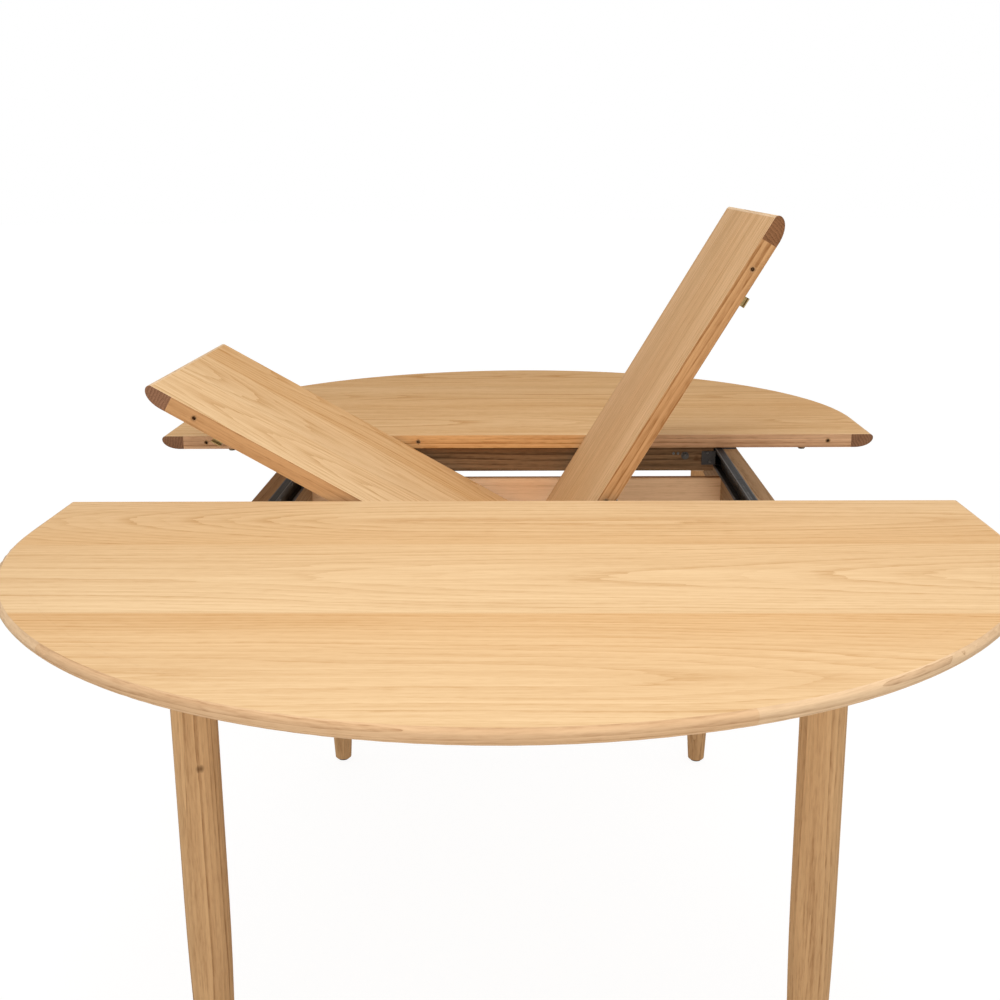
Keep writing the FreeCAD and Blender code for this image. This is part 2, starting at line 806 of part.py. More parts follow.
save("leaf_pivot_ears", *[turn_right_wing(ear) for ear in (pivot_ear(), flip_y(pivot_ear()))])
save("leaf_pivot_pins", *[turn_right_wing(pin) for pin in (pivot_pin(), flip_y(pivot_pin()))])
save("leaf_hinge_pins", *[turn_right_wing(pin) for pin in hinge_pins()])
for hand, turn, flaps in (("right", turn_right_wing, right_flaps), ("left", turn_left_wing, left_flaps)):
    save("leaf_" + hand + "_panel", turn(wing_panel()))
    save("leaf_" + hand + "_end_band", turn(wing_end_band()))
    save("leaf_" + hand + "_lippings", *[turn(strip) for strip in wing_lippings(hand)])
    save("leaf_" + hand + "_dowels", *[turn(pin) for pin in wing_dowels(hand)])
    save("leaf_" + hand + "_bushes", *[turn(bush) for bush in wing_bushes()])
    save("leaf_" + hand + "_keepers", *[turn(keeper) for keeper in keepers()])
    save("leaf_" + hand + "_hinge_flaps", *[turn(flap) for flap in flaps()])
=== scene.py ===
import math

import bpy
from mathutils import Matrix, Vector


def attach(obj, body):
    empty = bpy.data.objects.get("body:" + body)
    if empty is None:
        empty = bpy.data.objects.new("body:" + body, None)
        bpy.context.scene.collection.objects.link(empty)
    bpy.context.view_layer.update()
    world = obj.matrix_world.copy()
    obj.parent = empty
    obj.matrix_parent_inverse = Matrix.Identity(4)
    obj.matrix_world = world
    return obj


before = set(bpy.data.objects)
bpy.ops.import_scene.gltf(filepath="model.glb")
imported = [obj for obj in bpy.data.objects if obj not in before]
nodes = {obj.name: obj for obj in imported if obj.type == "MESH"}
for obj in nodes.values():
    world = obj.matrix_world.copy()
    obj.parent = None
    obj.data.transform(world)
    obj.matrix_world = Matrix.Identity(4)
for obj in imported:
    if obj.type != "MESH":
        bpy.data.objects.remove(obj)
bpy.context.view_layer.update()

# Legs: four round oak legs, turned from solid wood and drawn in to a slim foot, with the grain
# running up and down. Each is tenoned for two rails and drawn into its corner by a bolt.
leg_light = (0.74, 0.46, 0.230, 1)
leg_dark = (0.38, 0.200, 0.088, 1)
leg_knot = ((-0.352, -0.5695, 0.5083), 0.006)


class Wire:
    """One socket of a node tree, with which sums and products are written as plain expressions."""

    def __init__(self, tree, socket=None):
        self.tree = tree
        self.socket = socket

    def node(self, kind, settings=None, sockets=None, out=0):
        made = self.tree.nodes.new(kind)
        for name, value in (settings or {}).items():
            if name == "stops":
                set_stops(made.color_ramp, value)
            else:
                setattr(made, name, value)
        for key, value in (sockets or {}).items():
            if isinstance(value, Wire):
                self.tree.links.new(value.socket, made.inputs[key])
            else:
                made.inputs[key].default_value = value
        return Wire(self.tree, made.outputs[out])

    def maths(self, operation, *values):
        return self.node("ShaderNodeMath", {"operation": operation}, dict(enumerate(values)))

    def __add__(self, other):
        return self.maths("ADD", self, other)

    def __radd__(self, other):
        return self.maths("ADD", other, self)

    def __sub__(self, other):
        return self.maths("SUBTRACT", self, other)

    def __rsub__(self, other):
        return self.maths("SUBTRACT", other, self)

    def __mul__(self, other):
        return self.maths("MULTIPLY", self, other)

    def __rmul__(self, other):
        return self.maths("MULTIPLY", other, self)

    def __truediv__(self, other):
        return self.maths("DIVIDE", self, other)

    def __pow__(self, other):
        return self.maths("POWER", self, other)


def set_stops(ramp, stops):
    ramp.elements.remove(ramp.elements[1])
    ramp.elements[0].position = stops[0][0]
    ramp.elements[0].color = stops[0][1] + (1,)
    for place, values in stops[1:]:
        ramp.elements.new(place).color = values + (1,)


def run_of(place, direction):
    return place.node(
        "ShaderNodeVectorMath", {"operation": "DOT_PRODUCT"}, {0: place, 1: direction}, out="Value")


noise_roughness = 0.55


def grain_noise(u, v, w, scales, detail=2.0):
    place = u.node("ShaderNodeCombineXYZ", None, {0: u * scales[0], 1: v * scales[1], 2: w * scales[2]})
    return u.node("ShaderNodeTexNoise", None, {
        "Vector": place, "Scale": 1.0, "Detail": detail, "Roughness": noise_roughness})


def mix_colour(share, first, second):
    # The Mix node has its colours at inputs 6 and 7 and at output 2.
    return share.node("ShaderNodeMix", {"data_type": "RGBA"}, {0: share, 6: first, 7: second}, out=2)


def clamp(wire, low, high):
    """0 at low and under, 1 at high and over, and straight between."""
    return wire.node("ShaderNodeMapRange", {"clamp": True}, {0: wire, 1: low, 2: high, 3: 0.0, 4: 1.0})


def straight(along, across, through):
    """Wood axes that run straight, for oak and end_grain: along, across and through the grain."""
    return lambda place: (run_of(place, along), run_of(place, across), run_of(place, through))


def new_material(name):
    material = bpy.data.materials.new(name)
    material.use_nodes = True
    tree = material.node_tree
    return material, tree, tree.nodes["Principled BSDF"], Wire(tree).node("ShaderNodeTexCoord", out="Object")


# The wood's layers of noise, from wide bands to single pores: changes in a metre along, across and through
# the grain, detail, and the part of the range that is used. The shares are each layer's part in the dark lines.
wood_layers = {
    "broad": ((0.9, 12.0, 12.0), 3.0, 0.30, 0.70),
    "streak": ((2.4, 80.0, 80.0), 3.0, 0.28, 0.72),
    "fibre": ((9.0, 330.0, 330.0), 4.0, 0.28, 0.72),
    "dash": ((48.0, 420.0, 420.0), 2.0, 0.46, 0.72),
    "pore": ((70.0, 1200.0, 1200.0), 1.0, 0.52, 0.72)}
layer_shares = {"broad": 0.22, "streak": 0.22, "fibre": 0.24, "dash": 0.12, "pore": 0.10}
wood_sheen = 0.012
plank_shift = 23.7
stave_spread = 0.6
bend_scales = (1.5, 7.0, 7.0)
ring_slant = 0.6
arch_across = 0.5
waver_scales = (3.0, 60.0, 60.0)
waver_reach = 0.8
early_fall = 2.5
faintest_year = 0.2
line_dash, line_fibre, line_base = 0.35, 0.35, 0.25
mean_depth = 0.43
mean_share = 0.36
warm_hue, warm_saturation, warm_value = 0.491, 1.19, 0.88
# Dark spots drawn like a knot: a real knot on the legs, and painted shade for a hole on the bearer.
knot_and_hole_shade_colour = (0.11, 0.05, 0.02, 1)
mark_core = 0.35
knot_and_hole_shade_depth = 0.85
mark_ragged = 0.003
early_roughness, fibre_roughness = 0.05, 0.08
pore_height, fibre_height = 0.6, 0.4
grain_bump = 0.2
grain_bump_height = 0.0004


def oak(name, axes, light, dark, ring_gap=0.010, planks=None, wander=0.03, arch=0.0, figure=0.7, contrast=1.0,
        gloss=0.5, stave_length=0.0, knot_and_hole_shade=None, turn=None):
    """Oak with growth rings and pores. Options are in metres:

    planks: the low and high place across the grain, and a ramp with each plank's warmth and heart
    wander: how far the rings stray
    arch, figure: how far they arch over the heart, and how often that changes in a metre
    the dark spot: its place and reach, drawn like a knot; a real knot on the legs, painted shade for a hole on
    the bearer
    turn: a middle along the grain, where a change to other tones starts and ends from it, and those tones
    """
    material, tree, shader, place = new_material(name)
    shader.inputs["Specular IOR Level"].default_value = wood_sheen
    u, v, w = axes(place)
    tone = None
    v_local = v
    if planks:
        low, high, stops = planks
        share = (v - low) / (high - low)
        plank = share.node("ShaderNodeValToRGB", {"stops": stops}, {"Fac": share})
        tone = plank.node("ShaderNodeSeparateColor", None, {0: plank}, out="Red")
        heart = Wire(tree, tone.socket.node.outputs["Green"])
        u = u + heart * plank_shift
        v_local = v - (heart * (high - low) + low)
    if stave_length:
        stave = u.maths("FLOOR", u / stave_length)
        drawn = stave.node("ShaderNodeTexWhiteNoise", {"noise_dimensions": "1D"}, {"W": stave}, out="Value")
        tone = drawn * stave_spread + (1 - stave_spread) / 2
    bent = v_local + (grain_noise(u, v, w, bend_scales) - 0.5) * wander
    reach = bent + w * ring_slant
    if arch:
        rise = grain_noise(u, v, w, (figure, arch_across, arch_across), detail=1.0) * arch
        reach = (bent * bent + rise * rise) ** 0.5
    turns = reach / ring_gap + grain_noise(u, v, w, waver_scales) * waver_reach
    ring = turns.maths("FRACT", turns)
    year = turns.maths("FLOOR", turns)
    strength = year.node("ShaderNodeTexWhiteNoise", {"noise_dimensions": "1D"}, {"W": year}, out="Value")
    early = (1.0 - ring) ** early_fall * (strength * (1 - faintest_year) + faintest_year)
    layers = {}
    for layer, (scales, detail, least, most) in wood_layers.items():
        layers[layer] = clamp(grain_noise(u, v, w, scales, detail), least, most)
    fibre, dash, pore = layers["fibre"], layers["dash"], layers["pore"]
    depth = early * (dash * line_dash + fibre * line_fibre + line_base)
    for layer, part in layer_shares.items():
        depth = depth + layers[layer] * part
    share = clamp((depth - mean_depth) * contrast + mean_share, 0.0, 1.0)
    if turn:
        middle, start, end, far_light, far_dark = turn
        along = clamp(u.maths("ABSOLUTE", u - middle), start, end)
        light = mix_colour(along, light, far_light)
        dark = mix_colour(along, dark, far_dark)
    colour = mix_colour(share, light, dark)
    if tone:
        warm = colour.node("ShaderNodeHueSaturation", None, {
            "Hue": warm_hue, "Saturation": warm_saturation, "Value": warm_value, "Color": colour})
        colour = mix_colour(tone, colour, warm)
    if knot_and_hole_shade:
        mark_place, mark_reach = knot_and_hole_shade
        far = place.node(
            "ShaderNodeVectorMath", {"operation": "DISTANCE"}, {0: place, 1: mark_place}, out="Value")
        knot_and_hole_shade_share = 1.0 - clamp(far + (fibre - 0.5) * mark_ragged, mark_reach * mark_core, mark_reach)
        colour = mix_colour(knot_and_hole_shade_share * knot_and_hole_shade_depth, colour, knot_and_hole_shade_colour)
    tree.links.new(colour.socket, shader.inputs["Base Color"])
    rough = gloss + early * early_roughness + fibre * fibre_roughness
    tree.links.new(rough.socket, shader.inputs["Roughness"])
    height = 1.0 - (pore * pore_height + fibre * fibre_height)
    bump = place.node("ShaderNodeBump", None, {
        "Strength": grain_bump, "Distance": grain_bump_height, "Height": height})
    tree.links.new(bump.socket, shader.inputs["Normal"])
    return material


def dress(names, *materials, choose=None):
    """Give the named nodes their materials. choose picks the material's number for each face."""
    for name in names:
        mesh = nodes[name].data
        mesh.materials.clear()
        for material in materials:
            mesh.materials.append(material)
        for face in mesh.polygons:
            face.material_index = choose(face.normal, face.center) if choose else 0


legs = ["front_leg_left", "front_leg_right", "back_leg_left", "back_leg_right"]
leg_oak = oak(
    "leg_oak", straight((0, 0, 1), (0.8, 0.6, 0), (-0.6, 0.8, 0)), leg_light, leg_dark, ring_gap=0.007,
    wander=0.02, contrast=1.3, knot_and_hole_shade=leg_knot)
dress(legs, leg_oak)

# Foot glides: small black nylon discs, moulded and nailed under the feet.
# They keep the end grain of the foot off the floor.
nylon_colour = (0.022, 0.022, 0.023, 1)
nylon_worn = (0.06, 0.058, 0.055, 1)
nylon_cloud_scale, nylon_speck_scale = 38.0, 900.0
nylon_wear = (0.45, 0.75)
nylon_roughness, nylon_roughness_spread = 0.42, 0.18
nylon_bump = 0.15
fine_bump_height = 0.0002


def nylon(name, fresh, worn):
    material, tree, shader, place = new_material(name)
    cloud = place.node(
        "ShaderNodeTexNoise", None, {"Vector": place, "Scale": nylon_cloud_scale, "Detail": 4.0})
    speck = place.node(
        "ShaderNodeTexNoise", None, {"Vector": place, "Scale": nylon_speck_scale, "Detail": 1.0})
    colour = mix_colour(clamp(cloud, *nylon_wear), fresh, worn)
    tree.links.new(colour.socket, shader.inputs["Base Color"])
    rough = nylon_roughness + cloud * nylon_roughness_spread
    tree.links.new(rough.socket, shader.inputs["Roughness"])
    bump = place.node("ShaderNodeBump", None, {
        "Strength": nylon_bump, "Distance": fine_bump_height, "Height": speck})
    tree.links.new(bump.socket, shader.inputs["Normal"])
    return material


black_nylon = nylon("black_nylon", nylon_colour, nylon_worn)
dress(["foot_glides"], black_nylon)

# Side and end rails: oak boards on edge, tenoned into the legs with scribed shoulders.
# Their faces are sanded and sealed, with less gloss than the top.
# The rails' oak is the legs' oak made darker: painted shade for the shade in the well under the tops.
rail_light_with_painted_shade = (0.43, 0.272, 0.146, 1)
rail_dark_with_painted_shade = (0.228, 0.130, 0.064, 1)
dull_gloss = 0.55
side_rail_oak_with_painted_shade = oak(
    "side_rail_oak_with_painted_shade", straight((0, 1, 0), (0, 0, 1), (1, 0, 0)), rail_light_with_painted_shade, rail_dark_with_painted_shade, contrast=1.1,
    gloss=dull_gloss)
end_rail_oak_with_painted_shade = oak(
    "end_rail_oak_with_painted_shade", straight((1, 0, 0), (0, 0, 1), (0, 1, 0)), rail_light_with_painted_shade, rail_dark_with_painted_shade, contrast=1.1,
    gloss=dull_gloss)
dress(["side_rail_left", "side_rail_right"], side_rail_oak_with_painted_shade)
dress(["front_end_rail", "back_end_rail"], end_rail_oak_with_painted_shade)

# Cross rails, corner blocks and leaf ledges: pale plain beech, sawn and sanded, out of sight
# when the table is closed. They are glued and screwed between the side rails.
pale_light = (0.94, 0.635, 0.385, 1)
pale_dark = (0.70, 0.43, 0.235, 1)
pale_along = oak(
    "pale_beech", straight((1, 0, 0), (0, 0, 1), (0, 1, 0)), pale_light, pale_dark, ring_gap=0.014,
    contrast=1.5, gloss=dull_gloss)
dress(["front_cross_rail", "back_cross_rail", "corner_blocks", "leaf_ledges"], pale_along)

# Slides: fixed channels and moving runners, rolled from steel strip and coated black.
# The channels are screwed to the side rails and the runners carry the half tops.
slide_colour = (0.014, 0.012, 0.011, 1)
slide_scuff_and_highlight = (0.16, 0.155, 0.148, 1)
# Painted highlights: a thin light line along each channel lip, at these distances from the middle plane, broken
# in patches.
slide_highlight_edges = (0.3384, 0.3494)
slide_highlight_reach = 0.0011
cloud_scales = (24.0, 24.0, 24.0)
streak_range = (0.48, 0.72)
cloud_range = (0.40, 0.70)
highlight_core = 0.4
highlight_patches, highlight_least = 0.9, 0.2
cloud_roughness, scuff_polish = 0.14, 0.06
steel_bump = 0.08


def steel(name, plain, worn, metal, rough, streaks, sheen=0.3, highlight_edges=(), highlight_reach=0.001):
    """Metal with fine streaks and scuffs, and a painted highlight line, broken in patches, at each given
    distance from the table's middle plane.
    """
    material, tree, shader, place = new_material(name)
    x, y, z = (run_of(place, axis) for axis in ((1, 0, 0), (0, 1, 0), (0, 0, 1)))
    streak = clamp(grain_noise(x, y, z, streaks, detail=3.0), *streak_range)
    cloud = grain_noise(x, y, z, cloud_scales, detail=4.0)
    scuffs_and_highlights = streak * clamp(cloud, *cloud_range)
    # Painted highlight: a thin line in the worn colour along each given edge, broken in patches; elsewhere the
    # worn colour is real scuffing.
    for highlight_line in highlight_edges:
        off = x.maths("ABSOLUTE", x.maths("ABSOLUTE", x) - highlight_line)
        near_highlight = 1.0 - clamp(off, highlight_reach * highlight_core, highlight_reach)
        edge_highlight = near_highlight * (cloud * highlight_patches + highlight_least)
        scuffs_and_highlights = scuffs_and_highlights.maths("MAXIMUM", scuffs_and_highlights, edge_highlight)
    tree.links.new(mix_colour(scuffs_and_highlights, plain, worn).socket, shader.inputs["Base Color"])
    rough = rough + cloud * cloud_roughness - scuffs_and_highlights * scuff_polish
    tree.links.new(rough.socket, shader.inputs["Roughness"])
    shader.inputs["Metallic"].default_value = metal
    shader.inputs["Specular IOR Level"].default_value = sheen
    bump = place.node("ShaderNodeBump", None, {
        "Strength": steel_bump, "Distance": fine_bump_height, "Height": streak})
    tree.links.new(bump.socket, shader.inputs["Normal"])
    return material


black_steel = steel(
    "black_steel", slide_colour, slide_scuff_and_highlight, metal=0.0, rough=0.50, streaks=(700.0, 5.0, 700.0), sheen=0.12,
    highlight_edges=slide_highlight_edges, highlight_reach=slide_highlight_reach)
slide_nodes = [
    f"{end}_slide_{part}_{hand}" for end in ("front", "back") for part in ("channel", "runner")
    for hand in ("left", "right")]
dress(slide_nodes, black_steel)

# Glide strips and pivot bushes: black nylon. The strips lie on the side rails, so that the half
# tops slide without marking, and the bushes are pressed into the pivot brackets.
dress(["glide_strips", "pivot_bushes"], black_nylon)

# Half tops: a core with oak veneer laid across it, the figure running from side to side.
# The veneer covers the lippings too, and shows a few wide leaves of different tone, all darker on the back half
# as painted shade.
top_light = (0.86, 0.612, 0.350, 1)
top_dark = (0.62, 0.376, 0.176, 1)
flat_share = 0.9995
arc_centre = 0.3775
edge_plane = 0.2275
edge_play = 0.001
top_arch = 0.22
top_wander = 0.04
top_ring_gap = 0.0062
# Each stop of a plank table: share of the way from the low to the high Y, then warmth and place of the heart.
front_planks = (-1.0, -0.2, (
    (0.0, (0.0, 0.16, 0)), (0.20, (0.15, 0.16, 0)), (0.386, (0.75, 0.16, 0)), (0.387, (0.0, 0.55, 0)),
    (0.55, (0.10, 0.55, 0)), (0.70, (0.35, 0.55, 0)), (0.701, (0.65, 0.84, 0)), (0.95, (0.20, 0.84, 0))))
# Back leaves: real changes of plank, all set warmer and darker than the front's as painted shade for the light
# falling off to the back.
back_planks_and_painted_shade = (0.2, 1.0, (
    (0.0, (0.55, 0.18, 0)), (0.375, (0.90, 0.18, 0)), (0.376, (1.0, 0.52, 0)), (0.69, (0.75, 0.52, 0)),
    (0.691, (0.95, 0.85, 0))))
top_axes = straight((1, 0, 0), (0, 1, 0), (0, 0, 1))
front_veneer = oak(
    "front_veneer", top_axes, top_light, top_dark, ring_gap=top_ring_gap, planks=front_planks, arch=top_arch,
    wander=top_wander, contrast=1.2)
back_veneer_with_painted_shade = oak(
    "back_veneer_with_painted_shade", top_axes, top_light, top_dark, ring_gap=top_ring_gap, planks=back_planks_and_painted_shade, arch=top_arch,
    wander=top_wander, contrast=1.7)
dress(["front_top_panel"], front_veneer)
dress(["back_top_panel"], back_veneer_with_painted_shade)

# Edge bands: solid oak pieces bent round the curve of each half top and shaped with a small
# round above and a long undercut below. The saw cut at the joint shows dark end grain.
rim_light = (0.88, 0.640, 0.400, 1)
rim_dark = (0.53, 0.340, 0.195, 1)
end_light = (0.31, 0.158, 0.086, 1)
end_dark = (0.12, 0.056, 0.029, 1)
rim_radius = 0.6
rim_stave = 0.36
rim_ring_gap = 0.006
rim_contrast = 1.3
bow_scales = (40.0, 40.0, 40.0)
bow_reach = 0.012
end_pore_scales = (900.0, 900.0, 900.0)
end_pore_range = (0.45, 0.66)
end_range = (0.15, 0.95)
late_rise = 1.6
end_ring_share, end_pore_share, end_bow_share = 0.40, 0.30, 0.45
end_roughness, end_pore_roughness = 0.52, 0.12
end_bump = 0.25
heart_height = 0.55


def round_axes(sign):
    """Wood axes that follow the curve of the half top on the side of sign."""
    def axes(place):
        x = run_of(place, (1, 0, 0))
        y = run_of(place, (0, sign, 0)) - arc_centre
        turn = x.maths("ARCTAN2", y, x) * rim_radius
        reach = (x * x + y * y) ** 0.5
        return turn, reach, run_of(place, (0, 0, 1))
    return axes


def end_grain(name, axes, light, dark, ring_gap=0.0044):
    """Sawn end grain: rings cut across, seen as bowed bands round a heart further off."""
    material, tree, shader, place = new_material(name)
    shader.inputs["Specular IOR Level"].default_value = wood_sheen
    u, v, w = axes(place)
    bow = grain_noise(u, v, w, bow_scales, detail=3.0)
    up = w - heart_height
    reach = (v * v + up * up) ** 0.5 + bow * bow_reach
    ring = reach.maths("FRACT", reach / ring_gap)
    pore = clamp(grain_noise(u, v, w, end_pore_scales, detail=1.0), *end_pore_range)
    depth = ring ** late_rise * end_ring_share + pore * end_pore_share + bow * end_bow_share
    colour = mix_colour(clamp(depth, *end_range), light, dark)
    tree.links.new(colour.socket, shader.inputs["Base Color"])
    rough = end_roughness + pore * end_pore_roughness
    tree.links.new(rough.socket, shader.inputs["Roughness"])
    bump = place.node("ShaderNodeBump", None, {
        "Strength": end_bump, "Distance": grain_bump_height, "Height": 1.0 - pore})
    tree.links.new(bump.socket, shader.inputs["Normal"])
    return material


def band_face(normal, centre):
    """0 for the flat faces, 2 for the saw cut at the joint and 1 for the rest."""
    if abs(normal.z) > flat_share:
        return 0
    if abs(abs(centre.y) - edge_plane) < edge_play:
        return 2
    return 1


cut_end = end_grain("cut_end_grain", straight((0, 1, 0), (1, 0, 0), (0, 0, 1)), end_light, end_dark)
for end, sign, veneer in (("front", -1, front_veneer), ("back", 1, back_veneer_with_painted_shade)):
    rim_oak = oak(
        end + "_rim_oak", round_axes(sign), rim_light, rim_dark, ring_gap=rim_ring_gap, contrast=rim_contrast,
        stave_length=rim_stave)
    dress([end + "_edge_band"], veneer, rim_oak, cut_end, choose=band_face)

# Joint lippings: straight strips of solid oak, long grain, glued along the edges that meet the
# leaf and bored for dowels or bushes.
lip_light = (0.84, 0.50, 0.220, 1)
lip_dark = (0.45, 0.21, 0.070, 1)
lip_far_light = (0.73, 0.44, 0.250, 1)
lip_far_dark = (0.39, 0.200, 0.097, 1)
lip_turn = (-0.07, 0.17, 0.30, lip_far_light, lip_far_dark)


def lip_face(normal, centre):
    """0 for the flat faces and 1 for the rest."""
    return int(abs(normal.z) < flat_share)


lip_oak = oak(
    "lipping_oak", straight((1, 0, 0), (0, 0, 1), (0, 1, 0)), lip_light, lip_dark, ring_gap=0.008, wander=0.015,
    contrast=1.6, turn=lip_turn)
for end, veneer in (("front", front_veneer), ("back", back_veneer_with_painted_shade)):
    dress([end + "_joint_lipping"], veneer, lip_oak, choose=lip_face)

# Bearers: oak bars screwed up into the panel from below, one behind the joint and one at the
# outer end of the runners. They are rougher and darker than the show wood.
bearer_light = (0.29, 0.170, 0.086, 1)
bearer_dark = (0.115, 0.064, 0.031, 1)
# The dark spot on the bearer is painted shade for a hole, drawn like a knot.
bearer_hole_shade = ((0.3072, 0.236, 0.6972), 0.006)
bearer_oak = oak(
    "bearer_oak", straight((1, 0, 0), (0, 0, 1), (0, 1, 0)), bearer_light, bearer_dark, contrast=2.2,
    gloss=dull_gloss, knot_and_hole_shade=bearer_hole_shade)
dress(["front_bearers", "back_bearers"], bearer_oak)

# Leaf: two wings hinged together, veneered along their length like the half tops, with solid
# lippings on the long edges and a shaped band at the outer end.
lift = math.radians(59.0)
fold = math.radians(88.8)
pivot_x = 0.140
pivot_z = 0.7024
fold_z = 0.74025
wing_planks = {
    "left": (-0.22, 0.22, (
        (0.0, (0.10, 0.20, 0)), (0.36, (0.40, 0.20, 0)), (0.361, (0.15, 0.50, 0)), (0.70, (0.65, 0.50, 0)),
        (0.701, (0.85, 0.95, 0)))),
    "right": (-0.22, 0.22, ((0.0, (0.40, 0.10, 0)), (0.55, (0.62, 0.10, 0)), (0.551, (0.50, 0.80, 0))))}
# For each wing: how far the figure arches, how often it changes along the wing, and its contrast.
wing_figure = {"left": (0.16, 1.5, 1.6), "right": (0.0, 1.0, 2.2)}
wing_tones = {
    "left": (top_light, top_dark), "right": ((0.79, 0.54, 0.31, 1), (0.55, 0.343, 0.165, 1))}
wing_wander = 0.05
wing_end_tones = {
    "left": ((0.350, 0.188, 0.113, 1), (0.136, 0.067, 0.038, 1)),
    "right": ((0.31, 0.150, 0.071, 1), (0.12, 0.053, 0.024, 1))}
wing_lip_light = (0.62, 0.36, 0.170, 1)
wing_lip_dark = (0.32, 0.15, 0.055, 1)


def right_wing(x, y, z):
    """Where a place on the flat leaf is now that the right wing is lifted."""
    across, up = x - pivot_x, z - pivot_z
    return Vector((
        pivot_x + across * math.cos(lift) - up * math.sin(lift), y,
        pivot_z + across * math.sin(lift) + up * math.cos(lift)))


def left_wing(x, y, z):
    """The same for the left wing, with X counted outwards. It folds and is lifted with the right one."""
    up = z - fold_z
    folded_x = -x * math.cos(fold) + up * math.sin(fold)
    folded_z = fold_z + x * math.sin(fold) + up * math.cos(fold)
    return right_wing(folded_x, y, folded_z)


def wing_face(up):
    """0 for the flat faces, 2 for the straight edges and 1 for the rest."""
    def choose(normal, centre):
        if abs(normal.dot(up)) > flat_share:
            return 0
        if abs(normal.y) > flat_share:
            return 2
        return 1
    return choose


for hand, spot in (("right", right_wing), ("left", left_wing)):
    outward = (spot(1.0, 0, 0) - spot(0, 0, 0)).normalized()
    up = (spot(0, 0, 1.0) - spot(0, 0, 0)).normalized()
    top_of_wing = straight(outward, (0, 1, 0), up)
    arch, figure, contrast = wing_figure[hand]
    veneer = oak(
        f"{hand}_wing_veneer", top_of_wing, *wing_tones[hand], planks=wing_planks[hand], arch=arch,
        figure=figure, wander=wing_wander, contrast=contrast)
    lip = oak(
        f"{hand}_wing_lipping", straight(outward, up, (0, 1, 0)), wing_lip_light, wing_lip_dark,
        contrast=1.6, wander=0.012)
    rim = oak(
        f"{hand}_wing_rim", straight((0, 1, 0), outward, up), rim_light, rim_dark, ring_gap=rim_ring_gap,
        contrast=rim_contrast)
    cut = end_grain(f"{hand}_wing_end_grain", straight((0, 1, 0), outward, up), *wing_end_tones[hand])
    dress([f"leaf_{hand}_panel", f"leaf_{hand}_lippings"], veneer, lip, lip, choose=wing_face(up))
    dress([f"leaf_{hand}_end_band"], veneer, rim, cut, choose=wing_face(up))

# Leaf hinges: brass butt hinges let into the meeting faces, with the pin at the top surface,
# so that the wings fold face to face.
brass_colour = (0.62, 0.44, 0.18, 1)
brass_dull = (0.34, 0.22, 0.10, 1)
brass = steel("brass", brass_colour, brass_dull, metal=1.0, rough=0.26, streaks=(300.0, 12.0, 300.0))
dress(["leaf_right_hinge_flaps", "leaf_left_hinge_flaps", "leaf_hinge_pins"], brass)

# Dowel bushes: short sleeves of brown sintered bronze, pressed into the edges that take the
# dowels. Oil has dulled them to about the colour of the wood round them.
bush_colour = (0.40, 0.22, 0.095, 1)
bush_worn = (0.26, 0.135, 0.055, 1)
bush_bronze = steel("brown_bush", bush_colour, bush_worn, metal=0.0, rough=0.55, streaks=(400.0, 60.0, 400.0))
dress(["back_dowel_bushes", "leaf_right_bushes", "leaf_left_bushes"], bush_bronze)

# Zinc plated fittings: dowels, leg bolts, pivot brackets, ears and pins, all pressed or turned
# from steel. The runner angles are left grey, the locks are dark brown and the keepers plated yellow.
zinc_colour = (0.23, 0.22, 0.205, 1)
zinc_dull = (0.15, 0.14, 0.13, 1)
angle_colour = (0.075, 0.07, 0.066, 1)
angle_dull = (0.04, 0.037, 0.035, 1)
keeper_colour = (0.34, 0.25, 0.115, 1)
keeper_dull = (0.17, 0.12, 0.055, 1)
lock_colour = (0.15, 0.115, 0.075, 1)
lock_dull = (0.08, 0.060, 0.040, 1)
plate_streaks = (500.0, 30.0, 500.0)
zinc = steel("zinc_plate", zinc_colour, zinc_dull, metal=1.0, rough=0.30, streaks=plate_streaks)
keeper_zinc = steel(
    "yellow_zinc_plate", keeper_colour, keeper_dull, metal=1.0, rough=0.32, streaks=plate_streaks)
dress(["front_dowels", "leaf_right_dowels", "leaf_left_dowels", "leg_bolts"], zinc)
dress(["pivot_brackets", "leaf_pivot_ears", "leaf_pivot_pins"], zinc)
angle_steel = steel(
    "grey_angle", angle_colour, angle_dull, metal=0.4, rough=0.45, streaks=plate_streaks, sheen=0.15)
dress(["front_runner_angles", "back_runner_angles"], angle_steel)
lock_nodes = [f"{end}_lock_lever_{hand}" for end in ("front", "back") for hand in ("left", "right")]
lock_bronze = steel("brown_lock_plate", lock_colour, lock_dull, metal=1.0, rough=0.36, streaks=plate_streaks)
dress(lock_nodes + ["front_lock_plates", "back_lock_plates"], lock_bronze)
dress(["leaf_right_keepers", "leaf_left_keepers"], keeper_zinc)

# Screws: cross-recess wood screws that hold the fittings. Heads are pressed steel, set down on
# the plate or sunk flush where something slides over them.
screw_diameter = 0.0070
screw_height = 0.0016
screw_sides = 14
screw_top_share = 0.72
recess_length = 0.00434
recess_width = 0.00119
recess_lift = 0.9
spin_seed = 7
small_share = 0.75
flush_share = 0.10
channel_face, channel_screw_z = 0.3486, 0.6985
channel_screws_y = (0.050, 0.131, 0.200)
block_screw = (0.308, 0.48825, 0.645)
block_screw_shift = 0.0198
bracket_screws_x = (0.130, 0.150)
bracket_face, bracket_screw_z = 0.237, 0.641
ledge_screws_x = (-0.255, -0.195)
ledge_face, ledge_screw_z = 0.205, 0.6333
bearer_screws_x = (-0.28, -0.14, 0.0, 0.14, 0.28)
bearer_undersides = ((0.247, 0.6765), (0.4855, 0.681))
bearer_face = 0.236
bearer_pair_x, bearer_pair_z = (0.2681, 0.2757), 0.7063
angle_face = 0.234
angle_screws = ((0.3252, 0.7075), (0.3296, 0.6920))
